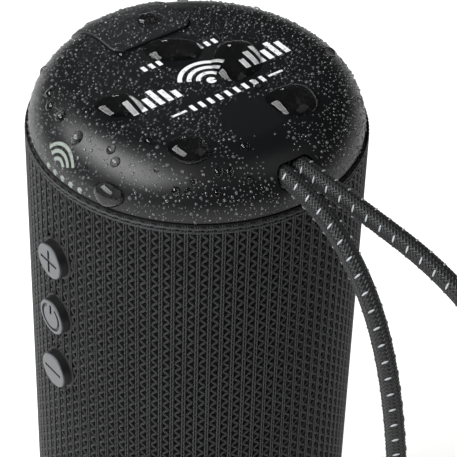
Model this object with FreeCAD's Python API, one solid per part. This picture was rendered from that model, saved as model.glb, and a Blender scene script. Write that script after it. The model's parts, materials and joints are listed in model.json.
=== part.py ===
import FreeCAD
import Part
import math
import os

# A portable cylindrical loudspeaker that stands upright. Millimetres, +Z up.
# The origin is the centre of its foot. -Y is the side with the buttons,
# +X the side that the lanyard leaves, -X the side with the covered sockets.

# ---- Driving dimensions ----
HEIGHT = 178.0          # from the table to the top of the cap
SLEEVE_R = 36.0         # outside of the knitted sleeve
CAP_R = 35.1            # outside of both end caps
CAP_ROUND = 11.6        # radius of the top cap's shoulder
LIP_ROUND = 0.4         # of the top cap's lower edge
BASE_ROUND = 6.0        # radius of the bottom cap's edge
CORD_D = 4.1            # braided lanyard
BUTTON_Z = {"plus": 145.9, "power": 130.5, "minus": 115.1}
BUTTON_TRAVEL = 0.6
DRIVER_Z = 47.5         # height of the two drivers' axis
RUNNING = 0.1           # all round a piece that slides

# ---- Body, from the outside in ----
SLEEVE_IN = 34.6
GRILLE_R = 34.4
GRILLE_IN = 33.4
SHELL_R = 33.2
SHELL_IN = 31.2
SKIRT_R = 34.3          # the caps' skirts, which the sleeve is pulled over
SKIRT_IN = 32.5
CAP_FLOOR_Z = HEIGHT - 20.0
SHOULDER_Z = HEIGHT - CAP_ROUND
SHOULDER_R = CAP_R - CAP_ROUND
PLATE_T = 2.5           # head plate and base plate
SEAL_T = 0.6
FLANGE_T = 2.0
SHELL_TOP = CAP_FLOOR_Z - PLATE_T - SEAL_T
SHELL_BOTTOM = 16.0
BASE_PLATE_Z = SHELL_BOTTOM - SEAL_T - PLATE_T
FOOT_H = 1.6            # the feet hold the bottom cap this far off the table
BASE_EDGE_Z = 11.6      # top of the bottom cap's visible edge

# ---- Sockets and their cover ----
SHELF_Z = HEIGHT - 5.8
POCKET_X = -14.6        # inner wall of the pocket
POCKET_HALF = 10.25
COVER_PROUD = 0.5
COVER_T = 1.8
COVER_GAP = 0.25
COVER_EDGE = 0.35       # round on the cover's outer edge
HINGE_X = -34.1
SOCKET_X = -22.5
USB_Y = 3.2
JACK_Y = -5.4
PORT_BOARD_Z = CAP_FLOOR_Z + 1.6
PORT_SCREW_Y = (-9.9, 9.9)

# ---- Lanyard ----
SLOT_Z = HEIGHT - 5.3
STRAND_Y = 2.15
FERRULE_X = (17.4, 24.4)

# ---- Drivers, whose depths are counted inwards from the flange's face ----
DRIVER_FACE = 21.5
FLANGE_R = 24.0
OPENING_R = 24.3
COLLAR_R = 25.8
THROAT_R = 20.7
SCREW_RING = 22.3
DUST_CAP_R = 20.0
DUST_CAP_Z = -24.2

# ---- Passive radiator ----
RADIATOR_Z = 11.8
RADIATOR_R = 28.0
BASE_SCREW_RING = 25.25

# ---- Electronics ----
CELL_R = 9.2
CELL_L = 65.0
CELL_Z = 79.0
CELL_X = 9.5
CELL_Y = 6.5
BOARD_Y = 18.6
BOARD_T = 1.6
POST_X = 20.2
POST_ZS = (90.0, 134.0)

# ---- Buttons, on the -Y side ----
BUTTON_R = 4.15
BUTTON_FACE_Y = -SLEEVE_R - 1.8
COLLAR_FACE_Y = -SLEEVE_R + 0.2
COLLAR_R_OUT = 4.9
BUTTON_FLANGE_Y = -32.7
PAD_FLOOR_Y = -24.4     # floor of the pocket behind the buttons
PAD_BOARD_T = 1.2
SWITCH_Y = PAD_FLOOR_Y - PAD_BOARD_T
PLUNGER_Y = SWITCH_Y - 4.4
ICON_DEPTH = 0.25
ICON_HALF = 2.9
ICON_RING_R = 3.3
STROKE_HALF = 0.36

VEC = FreeCAD.Vector
UP = VEC(0, 0, 1)
ALONG_Y = VEC(0, 1, 0)
TOOL = 200.0            # longer than anything that it cuts


# ---- Shape helpers ----
def cylinder(r, z0, z1, x=0.0, y=0.0):
    return Part.makeCylinder(r, z1 - z0, VEC(x, y, z0), UP)


def ring(r_out, r_in, z0, z1, x=0.0, y=0.0):
    return cylinder(r_out, z0, z1, x, y).cut(cylinder(r_in, z0 - 1, z1 + 1, x, y))


def rod_y(r, y0, y1, x, z):
    return Part.makeCylinder(r, y1 - y0, VEC(x, y0, z), ALONG_Y)


def tube_y(r_out, r_in, y0, y1, x, z):
    return rod_y(r_out, y0, y1, x, z).cut(rod_y(r_in, y0 - 1, y1 + 1, x, z))


def block(x0, x1, y0, y1, z0, z1):
    return Part.makeBox(x1 - x0, y1 - y0, z1 - z0, VEC(x0, y0, z0))


def rounded(x0, x1, y0, y1, z0, z1, r):
    """A block whose four upright edges are rounded."""
    solid = block(x0, x1, y0, y1, z0, z1)
    upright = [e for e in solid.Edges if abs(e.tangentAt(e.FirstParameter).z) > 0.9]
    return solid.makeFillet(r, upright)


def turned(points, arcs=None):
    """A solid of revolution about Z from (radius, z) points. arcs maps the index of
    a point to the middle point of the arc that leaves it."""
    arcs = arcs or {}
    at = [VEC(r, 0, z) for r, z in points]
    edges = []
    for i, start in enumerate(at):
        end = at[(i + 1) % len(at)]
        if i in arcs:
            middle = VEC(arcs[i][0], 0, arcs[i][1])
            edges.append(Part.Arc(start, middle, end).toShape())
        elif not start.isEqual(end, 1e-6):
            edges.append(Part.LineSegment(start, end).toShape())
    solid = Part.Face(Part.Wire(edges)).revolve(VEC(0, 0, 0), UP, 360)
    return solid if solid.Volume > 0 else solid.reversed()


def on_arc(cx, cz, r, degrees):
    a = math.radians(degrees)
    return (cx + r * math.cos(a), cz + r * math.sin(a))


def around(shape, count, start=0.0):
    """Copies of a shape, evenly spaced about Z."""
    turns = []
    for i in range(count):
        copy = shape.copy()
        copy.rotate(VEC(0, 0, 0), UP, start + i * 360.0 / count)
        turns.append(copy)
    return turns


def group(shapes):
    return Part.makeCompound(shapes)


def screw(head_r, head_t, shank_r, length):
    """A screw whose head's underside is at the origin, with its shank along -Z."""
    head = cylinder(head_r, 0, head_t)
    edge = [e for e in head.Edges if abs(e.BoundBox.ZMin - head_t) < 1e-6 and e.Length > head_t * 2]
    head = head.makeFillet(head_t * 0.4, edge)
    drive = [block(-head_r * 0.6, head_r * 0.6, -0.2, 0.2, head_t * 0.45, head_t + 1)]
    drive.append(block(-0.2, 0.2, -head_r * 0.6, head_r * 0.6, head_t * 0.45, head_t + 1))
    return head.fuse(cylinder(shank_r, -length, 0)).cut(drive)


def placed(shape, x, y, z, axis=None, degrees=0.0):
    copy = shape.copy()
    if axis is not None:
        copy.rotate(VEC(0, 0, 0), axis, degrees)
    copy.translate(VEC(x, y, z))
    return copy


def route(points):
    """The radius of each arc, and a wire of straight runs joined by tangent arcs."""
    at = [VEC(*p) for p in points]
    radii, edges, last = [], [], at[0]
    for before, corner, after in zip(at, at[1:], at[2:]):
        back, ahead = before - corner, after - corner
        half = (math.pi - back.getAngle(ahead)) / 2
        cut = 0.45 * min(back.Length, ahead.Length)
        radius = cut / math.tan(half)
        radii.append(radius)
        back.normalize()
        ahead.normalize()
        start, end = corner + back * cut, corner + ahead * cut
        middle = back + ahead
        middle.normalize()
        inward = radius / math.cos(half) - radius
        edges.append(Part.LineSegment(last, start).toShape())
        edges.append(Part.Arc(start, corner + middle * inward, end).toShape())
        last = end
    edges.append(Part.LineSegment(last, at[-1]).toShape())
    return radii, Part.Wire(edges)


def pipe(points, diameter):
    radii, wire = route(points)
    start = VEC(*points[0])
    across = VEC(*points[1]) - start
    section = Part.Wire(Part.makeCircle(diameter / 2, start, across))
    tube = wire.makePipeShell([section], True, False)
    return tube, radii, wire.Length


# ---- Caps ----
def cap_outline(grow):
    """The top cap's outside, grown by a distance, as one solid down to its floor."""
    r = CAP_ROUND + grow
    middle = on_arc(SHOULDER_R, SHOULDER_Z, r, 45)
    points = [(0, CAP_FLOOR_Z), (SHOULDER_R + r, CAP_FLOOR_Z), (SHOULDER_R + r, SHOULDER_Z)]
    points += [(SHOULDER_R, SHOULDER_Z + r), (0, SHOULDER_Z + r)]
    return turned(points, {2: middle})


def cap_inside():
    r = SKIRT_IN - SHOULDER_R
    middle = on_arc(SHOULDER_R, SHOULDER_Z, r, 45)
    points = [(0, CAP_FLOOR_Z - 1), (SKIRT_IN, CAP_FLOOR_Z - 1), (SKIRT_IN, SHOULDER_Z)]
    points += [(SHOULDER_R, SHOULDER_Z + r), (0, SHOULDER_Z + r)]
    return turned(points, {2: middle})


def lanyard_slot():
    """The rounded slot in the shoulder that the two strands share."""
    half_w, half_h = STRAND_Y + CORD_D / 2 + 0.5, CORD_D / 2 + 0.4
    slot = block(FERRULE_X[1] + 1.5, CAP_R + 5, -half_w, half_w, SLOT_Z - half_h, SLOT_Z + half_h)
    lengthwise = [e for e in slot.Edges if abs(e.tangentAt(e.FirstParameter).x) > 0.9]
    return slot.makeFillet(half_h - 0.15, lengthwise)


def top_cap():
    above = block(-TOOL, TOOL, -TOOL, TOOL, SHOULDER_Z, TOOL)
    outside = cap_outline(0).common(above).fuse(cylinder(SKIRT_R, CAP_FLOOR_Z, SHOULDER_Z))
    longest = 2 * math.pi * CAP_R - 1
    lip = [e for e in outside.Edges if e.BoundBox.ZLength < 1e-6 and e.Length > longest]
    outside = outside.makeFillet(LIP_ROUND, [e for e in lip if abs(e.BoundBox.ZMax - SHOULDER_Z) < 1e-6])
    shell = outside.cut(cap_inside())
    shelf = block(HINGE_X, POCKET_X + 1.6, -POCKET_HALF - 1.6, POCKET_HALF + 1.6, SHELF_Z - 2.7, HEIGHT)
    slot_wall = block(FERRULE_X[1] + 3.5, CAP_R, -7.5, 7.5, SLOT_Z - 4.3, HEIGHT)
    inner = outside.common(shelf.fuse(slot_wall))
    pocket = rounded(-CAP_R - 5, POCKET_X, -POCKET_HALF, POCKET_HALF, SHELF_Z, HEIGHT + 5, 3.0)
    strap_seat = block(-CAP_R - 1, -29.8, -6.2, 6.2, SHELF_Z - 1.2, SHELF_Z + 1)
    usb = rounded(SOCKET_X - 1.75, SOCKET_X + 1.75, USB_Y - 4.65, USB_Y + 4.65, SHELF_Z - 5, HEIGHT, 1.6)
    jack = cylinder(3.0, SHELF_Z - 5, HEIGHT, SOCKET_X, JACK_Y)
    return shell.fuse(inner).cut([pocket, strap_seat, usb, jack, lanyard_slot()]).removeSplitter()


def port_cover():
    """The rubber flap over the sockets: a skin that carries on the shoulder, with a
    plug for each socket. It turns about its outer lower edge."""
    skin = cap_outline(COVER_PROUD).cut(cap_outline(COVER_PROUD - COVER_T))
    x1 = POCKET_X - COVER_GAP
    half = POCKET_HALF - COVER_GAP
    plan = rounded(HINGE_X, x1, -half, half, SHELF_Z + 0.3, HEIGHT + 2, 2.8)
    cover = skin.common(plan)
    top_z = HEIGHT + COVER_PROUD
    rim = [e for e in cover.Edges if e.BoundBox.ZMax > top_z - 1e-4 and e.BoundBox.ZLength < 1e-4]
    cover = cover.makeFillet(COVER_EDGE, rim)
    inner_wall = rounded(x1 - 5.0, x1, -half, half, SHELF_Z + 0.3, HEIGHT, 2.4)
    inner_wall = inner_wall.cut(block(x1 - 6, x1 - 1.4, -half + 1.4, half - 1.4, 0, HEIGHT))
    under_skin = cap_outline(COVER_PROUD - COVER_T + 0.2)
    inner_wall = inner_wall.common(under_skin).cut(block(x1 - 6, x1 - 2.4, -20, 20, 0, HEIGHT))
    usb = rounded(SOCKET_X - 0.6, SOCKET_X + 0.6, USB_Y - 3.4, USB_Y + 3.4, SHELF_Z - 1.2, HEIGHT - 2, 0.5)
    usb_post = rounded(SOCKET_X - 1.5, SOCKET_X + 1.5, USB_Y - 4.2, USB_Y + 4.2, SHELF_Z + 0.3, HEIGHT, 1.4)
    jack = cylinder(1.4, SHELF_Z - 1.2, HEIGHT - 2, SOCKET_X, JACK_Y)
    jack_post = cylinder(2.4, SHELF_Z + 0.3, HEIGHT, SOCKET_X, JACK_Y)
    posts = usb.fuse([usb_post, jack, jack_post]).common(cap_outline(COVER_PROUD - 0.9))
    return cover.fuse([inner_wall, posts]).removeSplitter()


def port_cover_strap():
    """The cover's rubber root, which is fixed in a seat at the shelf's outer end."""
    root = rounded(HINGE_X + 0.3, -30.0, -6.0, 6.0, SHELF_Z - 1.2, SHELF_Z - 0.1, 0.6)
    return root.common(cap_outline(0))


def bottom_cap():
    """The lower end cap: a flat base with slots for the passive radiator."""
    corner = (CAP_R - BASE_ROUND, FOOT_H + BASE_ROUND)
    middle = on_arc(*corner, BASE_ROUND, -45)
    points = [(0, FOOT_H), (corner[0], FOOT_H), (CAP_R, corner[1]), (CAP_R, BASE_EDGE_Z)]
    points += [(SKIRT_R, BASE_EDGE_Z), (SKIRT_R, BASE_PLATE_Z), (SKIRT_IN, BASE_PLATE_Z)]
    r_in = BASE_ROUND - 2.6
    points += [(SKIRT_IN, corner[1]), (SKIRT_IN - r_in, FOOT_H + 2.6), (0, FOOT_H + 2.6)]
    inner = on_arc(SKIRT_IN - r_in, corner[1], r_in, -45)
    cap = turned(points, {1: middle, 7: inner})
    boss = cylinder(2.8, FOOT_H + 1, RADIATOR_Z, BASE_SCREW_RING)
    slot = rounded(7.0, 19.0, -1.5, 1.5, 0, 6, 1.45)
    hole = cylinder(1.3, 0, RADIATOR_Z + 1, BASE_SCREW_RING)
    sink = cylinder(2.5, 0, FOOT_H + 1.5, BASE_SCREW_RING)
    foot_seat = feet(FOOT_H, FOOT_H + 0.5)
    cuts = around(slot, 12) + around(hole, 4) + around(sink, 4) + foot_seat
    return cap.fuse(around(boss, 4)).cut(cuts).removeSplitter()


def feet(z0, z1):
    """Four arcs of rubber under the base, between the screws."""
    arc = ring(28.0, 22.6, z0, z1)
    apex = VEC(0, 0, z0 - 1)
    outline = Part.makePolygon([apex, VEC(60, -28, z0 - 1), VEC(60, 28, z0 - 1), apex])
    pad = arc.common(Part.Face(outline).extrude(VEC(0, 0, z1 - z0 + 2)))
    return around(pad, 4, 45)


def sleeve():
    tube = ring(SLEEVE_R, SLEEVE_IN, BASE_EDGE_Z + 0.2, SHOULDER_Z - 0.2)
    rims = [e for e in tube.Edges if e.Length > 2 * math.pi * (SLEEVE_R - 0.5)]
    tube = tube.makeFillet(1.0, rims)
    holes = [rod_y(COLLAR_R_OUT + 0.3, -TOOL / 2, 0, 0, z) for z in BUTTON_Z.values()]
    return tube.cut(holes)


def grille():
    """The moulded lattice tube that the sleeve lies on."""
    tube = ring(GRILLE_R, GRILLE_IN, BASE_PLATE_Z + 0.2, CAP_FLOOR_Z - 0.2)
    row, rows, per_row = 13.2, 10, 18
    windows = []
    for i in range(rows):
        z = 21.0 + i * row
        window = block(GRILLE_IN - 3, GRILLE_R + 3, -4.2, 4.2, z, z + row - 3.0)
        windows += around(window, per_row, 0 if i % 2 else 180.0 / per_row)
    pad = block(-8.4, 8.4, -GRILLE_R - 2, -20, 106.0, 155.2)
    solid_strip = tube.common(block(-11.0, 11.0, -GRILLE_R - 2, -20, 100.0, CAP_FLOOR_Z))
    return tube.cut(windows).fuse(solid_strip).cut(pad).removeSplitter()


# ---- Enclosure ----
def driver_seat(side):
    """Solid and cuts of the collar that holds one driver. side is -1 or +1."""
    face, pad, back = side * DRIVER_FACE, side * (DRIVER_FACE - 1.2), side * (DRIVER_FACE - 3.2)
    far = side * (SHELL_R + 5)
    collar = rod_y(COLLAR_R, min(back, far), max(back, far), 0, DRIVER_Z)
    bore = rod_y(OPENING_R, min(pad, far), max(pad, far), 0, DRIVER_Z)
    throat = rod_y(THROAT_R, min(0, far), max(0, far), 0, DRIVER_Z)
    holes = []
    for x, z in screw_places(SCREW_RING, 45):
        holes.append(rod_y(0.85, min(back, face) - 1, max(back, face) + 1, x, z + DRIVER_Z))
    return collar, [bore, throat] + holes


def screw_places(r, start, count=4):
    turn = [math.radians(start + i * 360.0 / count) for i in range(count)]
    return [(r * math.cos(a), r * math.sin(a)) for a in turn]


SHELL_SCREWS = [(s * 28.6, z) for s in (-1, 1) for z in (27.0, 84.0, 140.0)]


def vessel():
    """The whole sealed chamber, before it is parted into two halves and a seal."""
    body = ring(SHELL_R, SHELL_IN, SHELL_BOTTOM, SHELL_TOP)
    top = ring(SHELL_R, 28.0, SHELL_TOP - FLANGE_T, SHELL_TOP)
    low = ring(SHELL_R, 28.5, SHELL_BOTTOM, SHELL_BOTTOM + FLANGE_T)
    body = body.fuse([top, low])
    solids, cuts = [], []
    for side in (-1, 1):
        collar, holes = driver_seat(side)
        solids.append(collar)
        cuts += holes
    for x, z in SHELL_SCREWS:
        solids.append(rod_y(2.9, -8, 8, x, z))
        cuts.append(rod_y(1.05, -6.5, 8.5, x, z))
        cuts.append(rod_y(2.3, 8.0, 40, x, z))
    solids.append(block(-10.2, 10.2, -SHELL_R, PAD_FLOOR_Y + 1.6, 104.4, 154.0))
    cuts.append(block(-8.6, 8.6, -SHELL_R - 1, PAD_FLOOR_Y, 106.0, 152.4))
    for x in (-POST_X, POST_X):
        for z in POST_ZS:
            solids.append(rod_y(2.2, BOARD_Y + BOARD_T, 24.5, x, z))
            cuts.append(rod_y(0.85, BOARD_Y, 23.6, x, z))
    for x, y in screw_places(30.0, 45):
        cuts.append(cylinder(0.85, SHELL_TOP - FLANGE_T - 1, SHELL_TOP + 1, x, y))
    within = cylinder(SHELL_R, SHELL_BOTTOM, SHELL_TOP)
    return body.fuse(solids).common(within).cut(cuts).removeSplitter()


def enclosure():
    """Front half, rear half and the thin seals between them."""
    whole = vessel()
    half = SEAL_T / 2
    front = whole.common(block(-TOOL, TOOL, -TOOL, -half, 0, TOOL))
    rear = whole.common(block(-TOOL, TOOL, half, TOOL, 0, TOOL))
    seals = whole.common(block(-TOOL, TOOL, -half, half, 0, TOOL))
    return front, rear, seals


def shell_screws():
    one = screw(2.0, 1.6, 1.0, 14.0)
    return group([placed(one, x, 8.0, z, VEC(1, 0, 0), -90) for x, z in SHELL_SCREWS])


def head_plate():
    plate = cylinder(SHELL_R, CAP_FLOOR_Z - PLATE_T, CAP_FLOOR_Z)
    cuts = []
    for x, y in screw_places(30.0, 45):
        cuts.append(cylinder(1.05, 0, HEIGHT, x, y))
    cuts.append(rounded(-15, -10, -7.4, 7.4, 100, HEIGHT, 1.0))
    posts = []
    for y in PORT_SCREW_Y:
        posts.append(cylinder(2.0, CAP_FLOOR_Z, PORT_BOARD_Z, SOCKET_X, y))
        cuts.append(cylinder(0.65, CAP_FLOOR_Z - 1, PORT_BOARD_Z + 1, SOCKET_X, y))
    low, high = FERRULE_X
    cradle = block(low - 1.6, high - 0.2, -7.6, 7.6, CAP_FLOOR_Z, SLOT_Z + 0.5)
    seat = block(low - 0.05, high + 2, -5.05, 5.05, SLOT_Z - 2.7, HEIGHT)
    return plate.fuse(posts + [cradle]).cut(cuts + [seat]).removeSplitter()


def head_plate_screws():
    one = screw(1.9, 1.3, 0.8, 5.2)
    return group([placed(one, x, y, CAP_FLOOR_Z) for x, y in screw_places(30.0, 45)])


def head_seal():
    holes = [cylinder(0.95, 0, HEIGHT, x, y) for x, y in screw_places(30.0, 45)]
    return ring(32.4, 28.4, SHELL_TOP, SHELL_TOP + SEAL_T).cut(holes)


def base_plate():
    plate = ring(SHELL_R, 22.9, BASE_PLATE_Z, BASE_PLATE_Z + PLATE_T)
    boss = cylinder(2.8, BASE_PLATE_Z, BASE_PLATE_Z + 5.4, BASE_SCREW_RING)
    hole = cylinder(1.05, 0, BASE_PLATE_Z + 4.4, BASE_SCREW_RING)
    return plate.fuse(around(boss, 4)).cut(around(hole, 4) + [cylinder(22.9, 0, 30)]).removeSplitter()


def base_seal():
    return ring(32.4, 28.8, SHELL_BOTTOM - SEAL_T, SHELL_BOTTOM)


def base_screws():
    one = placed(screw(2.2, 1.3, 1.0, 12.6), 0, 0, 0, VEC(1, 0, 0), 180)
    return group(around(placed(one, BASE_SCREW_RING, 0, FOOT_H + 1.5), 4))


# ---- Buttons ----
def button_bezel():
    """One moulding: a curved plate in the grille's window, with a collar round each button."""
    plate = ring(GRILLE_R, GRILLE_IN, 106.4, 151.9).common(block(-8.1, 8.1, -40, -20, 0, HEIGHT))
    collars = []
    bores = []
    for z in BUTTON_Z.values():
        collar = rod_y(COLLAR_R_OUT, COLLAR_FACE_Y, -GRILLE_IN + 1, 0, z)
        edge = [e for e in collar.Edges if abs(e.BoundBox.YMax - COLLAR_FACE_Y) < 1e-6]
        collars.append(collar.makeFillet(0.35, edge).cut(cylinder(GRILLE_IN, 0, HEIGHT)))
        bores.append(rod_y(BUTTON_R + RUNNING, -TOOL, 0, 0, z))
    return plate.fuse(collars).cut(bores).removeSplitter()


def icon(name, x0, z0):
    """Grooves in a button's face: a plus, a minus, or a ring open at the top with a bar."""
    y0, y1 = BUTTON_FACE_Y - 2, BUTTON_FACE_Y + ICON_DEPTH
    across = block(x0 - ICON_HALF, x0 + ICON_HALF, y0, y1, z0 - STROKE_HALF, z0 + STROKE_HALF)
    upright = block(x0 - STROKE_HALF, x0 + STROKE_HALF, y0, y1, z0 - ICON_HALF, z0 + ICON_HALF)
    if name == "plus":
        return across.fuse(upright)
    if name == "minus":
        return across
    band = tube_y(ICON_RING_R, ICON_RING_R - 2 * STROKE_HALF, y0, y1, x0, z0)
    band = band.cut(block(x0 - 1.3, x0 + 1.3, y0 - 1, y1 + 1, z0, z0 + 5))
    return band.fuse(block(x0 - STROKE_HALF, x0 + STROKE_HALF, y0, y1, z0 + 0.8, z0 + ICON_RING_R))


def button(name):
    """A key that stops short of its switch by its travel and a little play."""
    z = BUTTON_Z[name]
    face = rod_y(BUTTON_R, BUTTON_FACE_Y, BUTTON_FLANGE_Y, 0, z)
    edge = [e for e in face.Edges if abs(e.BoundBox.YMax - BUTTON_FACE_Y) < 1e-6]
    face = face.makeFillet(0.5, edge)
    flange = rod_y(COLLAR_R_OUT, BUTTON_FLANGE_Y, BUTTON_FLANGE_Y + 1, 0, z)
    stem = rod_y(1.6, BUTTON_FLANGE_Y + 1, PLUNGER_Y - BUTTON_TRAVEL - 0.15, 0, z)
    return face.fuse([flange, stem]).cut(icon(name, 0, z)).removeSplitter()


def button_board():
    board = block(-8.0, 8.0, SWITCH_Y, PAD_FLOOR_Y, 107.0, 151.4)
    return board.cut([rod_y(0.7, -TOOL, 0, x, 110.5) for x in (-6.3, 6.3)])


def tact_switches():
    bodies = []
    for z in BUTTON_Z.values():
        body = block(-3.0, 3.0, SWITCH_Y - 3.3, SWITCH_Y, z - 3.0, z + 3.0)
        bodies.append(body.fuse(rod_y(1.7, PLUNGER_Y, SWITCH_Y - 3, 0, z)))
    return group(bodies)


# ---- Drivers ----
def facing(shape, side):
    """Turns a driver's piece, made with its depth along -Z from z = 0, to face side * Y."""
    copy = shape.copy()
    copy.rotate(VEC(0, 0, 0), VEC(1, 0, 0), -90 * side)
    copy.translate(VEC(0, side * DRIVER_FACE, DRIVER_Z))
    return copy


def driver_basket():
    profile = [(19.4, 0), (FLANGE_R, 0), (FLANGE_R, -1.15), (20.4, -1.15), (15.0, -9.7)]
    profile += [(15.0, -10.5), (7.9, -10.5), (7.9, -9.7), (14.1, -9.7), (19.4, -1.2)]
    basket = turned(profile)
    window = rounded(8, 30, -4.0, 4.0, -8.4, -2.2, 0.5)
    holes = [cylinder(0.9, -3, 3, x, y) for x, y in screw_places(SCREW_RING, 45)]
    return basket.cut(around(window, 4) + holes)


def driver_surround():
    """The rubber half-roll between the cone's rim and the basket's flange."""
    lip = [(16.2, 0.05), (16.9, 0.05), (18.9, 0.05), (20.6, 0.05), (20.6, 0.5), (19.3, 0.5)]
    lip += [(16.5, 0.5), (16.2, 0.5)]
    outer = on_arc(17.9, 0.5, 1.4, 90)
    inner = on_arc(17.9, 0.05, 1.0, 90)
    return turned(lip, {1: inner, 5: outer})


def driver_cone():
    """Paper cone with its dust cap and the former that carries the voice coil."""
    points = [(16.15, -0.05), (16.8, -0.05), (16.8, -0.55), (7.0, -6.6), (6.7, -6.6)]
    points += [(6.7, -13.2), (6.35, -13.2), (6.35, -6.0), (7.2, -5.6)]
    cone = turned(points)
    ball = Part.makeSphere(DUST_CAP_R, VEC(0, 0, DUST_CAP_Z))
    hollow = Part.makeSphere(DUST_CAP_R - 0.45, VEC(0, 0, DUST_CAP_Z))
    dome = ball.cut(hollow).common(cylinder(7.5, -8, 0))
    return cone.fuse(dome).removeSplitter()


def voice_coil():
    return ring(7.15, 6.7, -13.2, -10.0)


def driver_spider():
    """The corrugated disc that centres the former."""
    points = [(6.75, -8.9), (8.4, -8.9), (9.6, -8.9), (10.8, -8.9), (12.0, -8.9), (13.9, -8.9)]
    points += [(13.9, -8.5), (12.0, -8.5), (10.8, -8.5), (9.6, -8.5), (8.4, -8.5), (6.75, -8.5)]
    arcs = {1: (9.0, -8.4), 3: (11.4, -8.4), 7: (11.4, -8.0), 9: (9.0, -8.0)}
    ledge = cylinder(20, -8.95, -8.45)
    return turned(points, arcs).common(ledge.fuse(cylinder(12.5, -10, -5)))


def driver_magnet():
    return ring(13.6, 8.8, -16.4, -12.5)


def driver_yoke():
    """Top plate, back plate and pole, which carry the magnet's flux to the gap."""
    plate = ring(13.8, 7.6, -12.5, -10.5)
    back = cylinder(13.8, -18.4, -16.4)
    pole = cylinder(5.9, -16.4, -10.6)
    return group([plate, back.fuse(pole).removeSplitter()])


def driver_gasket():
    holes = [cylinder(0.9, -3, 3, x, y) for x, y in screw_places(SCREW_RING, 45)]
    return ring(FLANGE_R, 20.75, -1.2, -1.15).cut(holes)


def driver_screws():
    one = screw(1.4, 0.9, 0.75, 3.0)
    return group([placed(one, x, y, 0) for x, y in screw_places(SCREW_RING, 45)])


# ---- Passive radiator ----
def radiator_frame():
    frame = ring(RADIATOR_R, 22.0, RADIATOR_Z, RADIATOR_Z + 1.1)
    hole = cylinder(1.15, 0, 30, BASE_SCREW_RING)
    return frame.cut(around(hole, 4))


def radiator_surround():
    z = RADIATOR_Z
    points = [(17.0, z), (17.9, z), (20.9, z), (22.3, z), (22.3, z - 0.5), (21.4, z - 0.5)]
    points += [(17.4, z - 0.5), (17.0, z - 0.5)]
    inner = on_arc(19.4, z, 1.5, -90)
    outer = on_arc(19.4, z - 0.5, 2.0, -90)
    return turned(points, {1: inner, 5: outer})


def radiator_plate():
    """A stiff disc with a steel weight bonded to its middle."""
    disc = cylinder(17.7, RADIATOR_Z + 0.05, RADIATOR_Z + 1.3)
    return disc.fuse(cylinder(8.0, RADIATOR_Z + 1.3, RADIATOR_Z + 3.6)).removeSplitter()


# ---- Electronics ----
def battery_cells():
    cells = []
    for side in (-1, 1):
        cell = cylinder(CELL_R, CELL_Z, CELL_Z + CELL_L - 1.0, side * CELL_X, CELL_Y)
        cell = cell.makeFillet(0.7, [e for e in cell.Edges if e.Length > CELL_R * 4])
        button_end = cylinder(2.8, CELL_Z + CELL_L - 1.2, CELL_Z + CELL_L, side * CELL_X, CELL_Y)
        cells.append(cell.fuse(button_end))
    return group(cells)


def battery_holder():
    low, high = CELL_Z - 0.1, CELL_Z + CELL_L + 0.1
    plates = [block(-22, 22, -3.5, BOARD_Y - 1.1, low - 2, low)]
    plates.append(block(-22, 22, -3.5, BOARD_Y - 1.1, high, high + 2))
    wall = block(-22.6, 22.6, BOARD_Y - 2.7, BOARD_Y - 1.1, low - 2, high + 2)
    for x in (-POST_X, POST_X):
        for z in POST_ZS:
            plates.append(rod_y(2.0, BOARD_Y - 1.2, BOARD_Y, x, z))
    holes = [rod_y(0.9, 0, TOOL, x, z) for x in (-POST_X, POST_X) for z in POST_ZS]
    return wall.fuse(plates).cut(holes).removeSplitter()


def main_board():
    board = block(-22.5, 22.5, BOARD_Y, BOARD_Y + BOARD_T, 80.0, 144.0)
    return board.cut([rod_y(0.9, 0, TOOL, x, z) for x in (-POST_X, POST_X) for z in POST_ZS])


def board_screws():
    one = screw(1.5, 1.0, 0.75, 7.0)
    places = [(x, z) for x in (-POST_X, POST_X) for z in POST_ZS]
    return group([placed(one, x, BOARD_Y - 2.7, z, VEC(1, 0, 0), 90) for x, z in places])


def board_chips():
    """Bluetooth module, amplifier, charger, coils and connectors, all soldered on."""
    y0 = BOARD_Y + BOARD_T
    sizes = [(-6, 6, 118, 133, 1.9), (-5, 3, 101, 109, 1.1), (7, 12, 100, 105, 1.0)]
    sizes += [(-15, -9, 96, 102, 3.0), (-15, -9, 106, 112, 3.0), (5, 14, 83, 88, 3.4)]
    sizes += [(-14, -5, 83, 88, 3.4), (9, 14, 110, 116, 1.4), (-7, 7, 138, 142, 2.0)]
    return group([block(x0, x1, y0, y0 + t, z0, z1) for x0, x1, z0, z1, t in sizes])


def port_board():
    board = rounded(-28.0, -16.2, -12.2, 12.2, PORT_BOARD_Z, PORT_BOARD_Z + 1.2, 1.0)
    return board.cut([cylinder(0.75, 0, HEIGHT, SOCKET_X, y) for y in PORT_SCREW_Y])


def port_board_screws():
    one = screw(1.2, 0.8, 0.6, 3.2)
    return group([placed(one, SOCKET_X, y, PORT_BOARD_Z + 1.2) for y in PORT_SCREW_Y])


def usb_socket():
    low, high = PORT_BOARD_Z + 1.2, SHELF_Z - 0.2
    half_x, half_y = 1.6, 4.45
    can = rounded(SOCKET_X - half_x, SOCKET_X + half_x, USB_Y - half_y, USB_Y + half_y, low, high, 1.45)
    mouth = rounded(SOCKET_X - 1.3, SOCKET_X + 1.3, USB_Y - 4.15, USB_Y + 4.15, high - 6.4, high + 1, 1.2)
    tongue = block(SOCKET_X - 0.35, SOCKET_X + 0.35, USB_Y - 3.35, USB_Y + 3.35, high - 6.6, high - 1.7)
    return can.cut(mouth).fuse(tongue).removeSplitter()


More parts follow.
